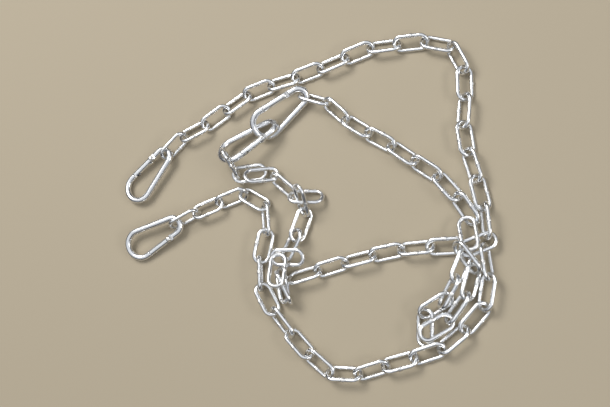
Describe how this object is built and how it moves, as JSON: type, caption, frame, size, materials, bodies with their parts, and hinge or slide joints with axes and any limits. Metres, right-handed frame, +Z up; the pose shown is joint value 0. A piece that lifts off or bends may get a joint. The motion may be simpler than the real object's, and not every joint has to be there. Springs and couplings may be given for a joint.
{
  "type": "swing chain set",
  "caption": "Long-link steel chain set with spring-gate snap hooks on its ends and two more clipped together midway, lying loosely coiled, for hanging a swing seat.",
  "frame": {"origin": "middle of the footprint of the whole set as it lies, on the floor", "axes": "+Z up from the floor, +X from the free snap hooks towards the knot, +Y towards the upper strand"},
  "size_m": [0.4776, 0.4126, 0.0432],
  "materials": {
    "chain_steel": "bright zinc plated",
    "hook_steel": "bright zinc plated, forged",
    "gate_steel": "bright zinc plated",
    "rivet_steel": "plain",
    "spring_steel": "drawn wire"
  },
  "bodies": {
    "tangle": {"c_links": "chain_steel", "m_links": "chain_steel", "n_links": "chain_steel", "pile_links": "chain_steel", "knot_links": "chain_steel", "tail_links": "chain_steel", "hook_c_body": "hook_steel", "hook_c_rivet": "rivet_steel", "hook_d_body": "hook_steel", "hook_d_rivet": "rivet_steel"},
    "t_link_19": {"t_link_19": "chain_steel"},
    "t_link_18": {"t_link_18": "chain_steel"},
    "t_link_17": {"t_link_17": "chain_steel"},
    "t_link_16": {"t_link_16": "chain_steel"},
    "t_link_15": {"t_link_15": "chain_steel"},
    "t_link_14": {"t_link_14": "chain_steel"},
    "t_link_13": {"t_link_13": "chain_steel"},
    "t_link_12": {"t_link_12": "chain_steel"},
    "t_link_11": {"t_link_11": "chain_steel"},
    "t_link_10": {"t_link_10": "chain_steel"},
    "t_link_09": {"t_link_09": "chain_steel"},
    "t_link_08": {"t_link_08": "chain_steel"},
    "t_link_07": {"t_link_07": "chain_steel"},
    "t_link_06": {"t_link_06": "chain_steel"},
    "t_link_05": {"t_link_05": "chain_steel"},
    "t_link_04": {"t_link_04": "chain_steel"},
    "t_link_03": {"t_link_03": "chain_steel"},
    "t_link_02": {"t_link_02": "chain_steel"},
    "t_link_01": {"t_link_01": "chain_steel"},
    "b_link_19": {"b_link_19": "chain_steel"},
    "b_link_18": {"b_link_18": "chain_steel"},
    "b_link_17": {"b_link_17": "chain_steel"},
    "b_link_16": {"b_link_16": "chain_steel"},
    "b_link_15": {"b_link_15": "chain_steel"},
    "b_link_14": {"b_link_14": "chain_steel"},
    "b_link_13": {"b_link_13": "chain_steel"},
    "b_link_12": {"b_link_12": "chain_steel"},
    "b_link_11": {"b_link_11": "chain_steel"},
    "b_link_10": {"b_link_10": "chain_steel"},
    "b_link_09": {"b_link_09": "chain_steel"},
    "b_link_08": {"b_link_08": "chain_steel"},
    "b_link_07": {"b_link_07": "chain_steel"},
    "b_link_06": {"b_link_06": "chain_steel"},
    "b_link_05": {"b_link_05": "chain_steel"},
    "b_link_04": {"b_link_04": "chain_steel"},
    "b_link_03": {"b_link_03": "chain_steel"},
    "b_link_02": {"b_link_02": "chain_steel"},
    "b_link_01": {"b_link_01": "chain_steel"},
    "hook_a": {"hook_a_body": "hook_steel", "hook_a_rivet": "rivet_steel"},
    "hook_a_gate": {"hook_a_gate": "gate_steel", "hook_a_spring": "spring_steel"},
    "hook_b": {"hook_b_body": "hook_steel", "hook_b_rivet": "rivet_steel"},
    "hook_b_gate": {"hook_b_gate": "gate_steel", "hook_b_spring": "spring_steel"},
    "hook_c_gate": {"hook_c_gate": "gate_steel", "hook_c_spring": "spring_steel"},
    "hook_d_gate": {"hook_d_gate": "gate_steel", "hook_d_spring": "spring_steel"}
  },
  "joints": [
    {"name": "t_link_19_hinge", "type": "hinge", "parent": "tangle", "child": "t_link_19", "pos_m": [0.22744, -0.04153, 0.01029], "axis": [0.9648, 0.2631, 0], "range_deg": [0, 8]},
    {"name": "t_link_18_hinge", "type": "hinge", "parent": "t_link_19", "child": "t_link_18", "pos_m": [0.22586, -0.0136, 0.00879], "axis": [0.8014, 0.1697, -0.5736], "range_deg": [0, 8]},
    {"name": "t_link_17_hinge", "type": "hinge", "parent": "t_link_18", "child": "t_link_17", "pos_m": [0.21736, 0.02651, 0.00879], "axis": [0.8014, 0.1697, -0.5736], "range_deg": [0, 8]},
    {"name": "t_link_16_hinge", "type": "hinge", "parent": "t_link_17", "child": "t_link_16", "pos_m": [0.20972, 0.05152, 0.00766], "axis": [0.8127, 0.1023, -0.5736], "range_deg": [0, 8]},
    {"name": "t_link_15_hinge", "type": "hinge", "parent": "t_link_16", "child": "t_link_15", "pos_m": [0.2046, 0.0922, 0.00766], "axis": [0.8127, 0.1023, -0.5736], "range_deg": [0, 8]},
    {"name": "t_link_14_hinge", "type": "hinge", "parent": "t_link_15", "child": "t_link_14", "pos_m": [0.20843, 0.11817, 0.00736], "axis": [0.848, 0.0006, -0.5299], "range_deg": [0, 8]},
    {"name": "t_link_13_hinge", "type": "hinge", "parent": "t_link_14", "child": "t_link_13", "pos_m": [0.2084, 0.15917, 0.00736], "axis": [0.848, 0.0006, -0.5299], "range_deg": [0, 8]},
    {"name": "t_link_12_hinge", "type": "hinge", "parent": "t_link_13", "child": "t_link_12", "pos_m": [0.19809, 0.18484, 0.00736], "axis": [0.2663, 0.8241, -0.5], "range_deg": [0, 8]},
    {"name": "t_link_11_hinge", "type": "hinge", "parent": "t_link_12", "child": "t_link_11", "pos_m": [0.15907, 0.19745, 0.00736], "axis": [0.2663, 0.8241, -0.5], "range_deg": [0, 8]},
    {"name": "t_link_10_hinge", "type": "hinge", "parent": "t_link_11", "child": "t_link_10", "pos_m": [0.13281, 0.19661, 0.0074], "axis": [-0.0123, 0.8386, -0.5446], "range_deg": [0, 8]},
    {"name": "t_link_09_hinge", "type": "hinge", "parent": "t_link_10", "child": "t_link_09", "pos_m": [0.09181, 0.19601, 0.0074], "axis": [-0.0123, 0.8386, -0.5446], "range_deg": [0, 8]},
    {"name": "t_link_08_hinge", "type": "hinge", "parent": "t_link_09", "child": "t_link_08", "pos_m": [0.06686, 0.18782, 0.00799], "axis": [-0.267, 0.8238, -0.5], "range_deg": [0, 8]},
    {"name": "t_link_07_hinge", "type": "hinge", "parent": "t_link_08", "child": "t_link_07", "pos_m": [0.02785, 0.17518, 0.00799], "axis": [-0.267, 0.8238, -0.5], "range_deg": [0, 8]},
    {"name": "t_link_06_hinge", "type": "hinge", "parent": "t_link_07", "child": "t_link_06", "pos_m": [0.00266, 0.16837, 0.00799], "axis": [-0.1684, 0.8495, -0.5], "range_deg": [0, 8]},
    {"name": "t_link_05_hinge", "type": "hinge", "parent": "t_link_06", "child": "t_link_05", "pos_m": [-0.03756, 0.1604, 0.00799], "axis": [-0.1684, 0.8495, -0.5], "range_deg": [0, 8]},
    {"name": "t_link_04_hinge", "type": "hinge", "parent": "t_link_05", "child": "t_link_04", "pos_m": [-0.06299, 0.15376, 0.00736], "axis": [-0.4519, 0.7586, -0.4695], "range_deg": [0, 8]},
    {"name": "t_link_03_hinge", "type": "hinge", "parent": "t_link_04", "child": "t_link_03", "pos_m": [-0.09822, 0.13278, 0.00736], "axis": [-0.4519, 0.7586, -0.4695], "range_deg": [0, 8]},
    {"name": "t_link_02_hinge", "type": "hinge", "parent": "t_link_03", "child": "t_link_02", "pos_m": [-0.11999, 0.11834, 0.00895], "axis": [-0.3474, 0.8371, -0.4226], "range_deg": [0, 8]},
    {"name": "t_link_01_hinge", "type": "hinge", "parent": "t_link_02", "child": "t_link_01", "pos_m": [-0.15786, 0.10262, 0.00895], "axis": [-0.3474, 0.8371, -0.4226], "range_deg": [0, 8]},
    {"name": "b_link_19_hinge", "type": "hinge", "parent": "tangle", "child": "b_link_19", "pos_m": [0.22432, -0.0587, 0.01084], "axis": [-0.9648, -0.2631, 0], "range_deg": [0, 1.5]},
    {"name": "b_link_18_hinge", "type": "hinge", "parent": "b_link_19", "child": "b_link_18", "pos_m": [0.22893, -0.08661, 0.00934], "axis": [-0.8218, 0.1672, -0.5446], "range_deg": [0, 1]},
    {"name": "b_link_17_hinge", "type": "hinge", "parent": "b_link_18", "child": "b_link_17", "pos_m": [0.22076, -0.12679, 0.00934], "axis": [-0.8218, 0.1672, -0.5446], "range_deg": [0, 1.5]},
    {"name": "b_link_16_hinge", "type": "hinge", "parent": "b_link_17", "child": "b_link_16", "pos_m": [0.19628, -0.15078, 0.00784], "axis": [-0.6047, 0.5525, 0.5736], "range_deg": [0, 8]},
    {"name": "b_link_15_hinge", "type": "hinge", "parent": "b_link_16", "child": "b_link_15", "pos_m": [0.17594, -0.16803, 0.00792], "axis": [-0.2378, 0.7624, 0.6018], "range_deg": [0, 8]},
    {"name": "b_link_14_hinge", "type": "hinge", "parent": "b_link_15", "child": "b_link_14", "pos_m": [0.14385, -0.17821, 0.00736], "axis": [-0.219, 0.8287, -0.515], "range_deg": [0, 3]},
    {"name": "b_link_13_hinge", "type": "hinge", "parent": "b_link_14", "child": "b_link_13", "pos_m": [0.10421, -0.18869, 0.00736], "axis": [-0.219, 0.8287, -0.515], "range_deg": [0, 2]},
    {"name": "b_link_12_hinge", "type": "hinge", "parent": "b_link_13", "child": "b_link_12", "pos_m": [0.07906, -0.19752, 0.0084], "axis": [0.0346, 0.7539, -0.6561], "range_deg": [0, 1.5]},
    {"name": "b_link_11_hinge", "type": "hinge", "parent": "b_link_12", "child": "b_link_11", "pos_m": [0.04456, -0.19816, 0.00727], "axis": [0.545, 0.6498, 0.5299], "range_deg": [0, 8]},
    {"name": "b_link_10_hinge", "type": "hinge", "parent": "b_link_11", "child": "b_link_10", "pos_m": [0.01314, -0.17182, 0.00727], "axis": [0.545, 0.6498, 0.5299], "range_deg": [0, 8]},
    {"name": "b_link_09_hinge", "type": "hinge", "parent": "b_link_10", "child": "b_link_09", "pos_m": [-0.00947, -0.14679, 0.00829], "axis": [0.5614, 0.5212, -0.6428], "range_deg": [0, 3.5]},
    {"name": "b_link_08_hinge", "type": "hinge", "parent": "b_link_09", "child": "b_link_08", "pos_m": [-0.02649, -0.12655, 0.0098], "axis": [0.762, 0.4116, -0.5], "range_deg": [0, 5.5]},
    {"name": "b_link_07_hinge", "type": "hinge", "parent": "b_link_08", "child": "b_link_07", "pos_m": [-0.04597, -0.09048, 0.0098], "axis": [0.762, 0.4116, -0.5], "range_deg": [0, 8]},
    {"name": "b_link_06_hinge", "type": "hinge", "parent": "b_link_07", "child": "b_link_06", "pos_m": [-0.0463, -0.06361, 0.0098], "axis": [0.9037, -0.2074, -0.3746], "range_deg": [0, 8]},
    {"name": "b_link_05_hinge", "type": "hinge", "parent": "b_link_06", "child": "b_link_05", "pos_m": [-0.03713, -0.02365, 0.0098], "axis": [0.9037, -0.2074, -0.3746], "range_deg": [0, 8]},
    {"name": "b_link_04_hinge", "type": "hinge", "parent": "b_link_05", "child": "b_link_04", "pos_m": [-0.03752, 0.00445, 0.00799], "axis": [0.4527, 0.7383, -0.5], "range_deg": [0, 8]},
    {"name": "b_link_03_hinge", "type": "hinge", "parent": "b_link_04", "child": "b_link_03", "pos_m": [-0.07248, 0.02589, 0.00799], "axis": [0.4527, 0.7383, -0.5], "range_deg": [0, 8]},
    {"name": "b_link_02_hinge", "type": "hinge", "parent": "b_link_03", "child": "b_link_02", "pos_m": [-0.09798, 0.01485, 0.00969], "axis": [-0.3127, 0.9139, -0.2588], "range_deg": [0, 8]},
    {"name": "b_link_01_hinge", "type": "hinge", "parent": "b_link_02", "child": "b_link_01", "pos_m": [-0.13677, 0.00158, 0.00969], "axis": [-0.3127, 0.9139, -0.2588], "range_deg": [0, 8]},
    {"name": "hook_a_hinge", "type": "hinge", "parent": "t_link_01", "child": "hook_a", "pos_m": [-0.17556, 0.08704, 0.01088], "axis": [-0.728, 0.6811, -0.0783], "range_deg": [0, 12]},
    {"name": "hook_a_gate_hinge", "type": "hinge", "parent": "hook_a", "child": "hook_a_gate", "pos_m": [-0.2001, 0.07865, 0.00865], "axis": [-0.0948, 0.0132, 0.9954], "range_deg": [0, 28], "stiffness_Nm_per_rad": 0.02, "springref_deg": -34.38},
    {"name": "hook_b_hinge", "type": "hinge", "parent": "b_link_01", "child": "hook_b", "pos_m": [-0.15561, -0.0082, 0.01142], "axis": [-0.407, 0.8887, 0.2111], "range_deg": [0, 12]},
    {"name": "hook_b_gate_hinge", "type": "hinge", "parent": "hook_b", "child": "hook_b_gate", "pos_m": [-0.17151, -0.02846, 0.00769], "axis": [-0.0421, 0.2126, -0.9762], "range_deg": [0, 28], "stiffness_Nm_per_rad": 0.02, "springref_deg": -34.38},
    {"name": "hook_c_gate_hinge", "type": "hinge", "parent": "tangle", "child": "hook_c_gate", "pos_m": [-0.01181, 0.14176, 0.02064], "axis": [0.3358, -0.4472, 0.829], "range_deg": [0, 28], "stiffness_Nm_per_rad": 0.02, "springref_deg": -34.38},
    {"name": "hook_d_gate_hinge", "type": "hinge", "parent": "tangle", "child": "hook_d_gate", "pos_m": [-0.04114, 0.08966, 0.01926], "axis": [0.134, -0.4643, -0.8755], "range_deg": [0, 20], "stiffness_Nm_per_rad": 0.02, "springref_deg": -34.38}
  ]
}
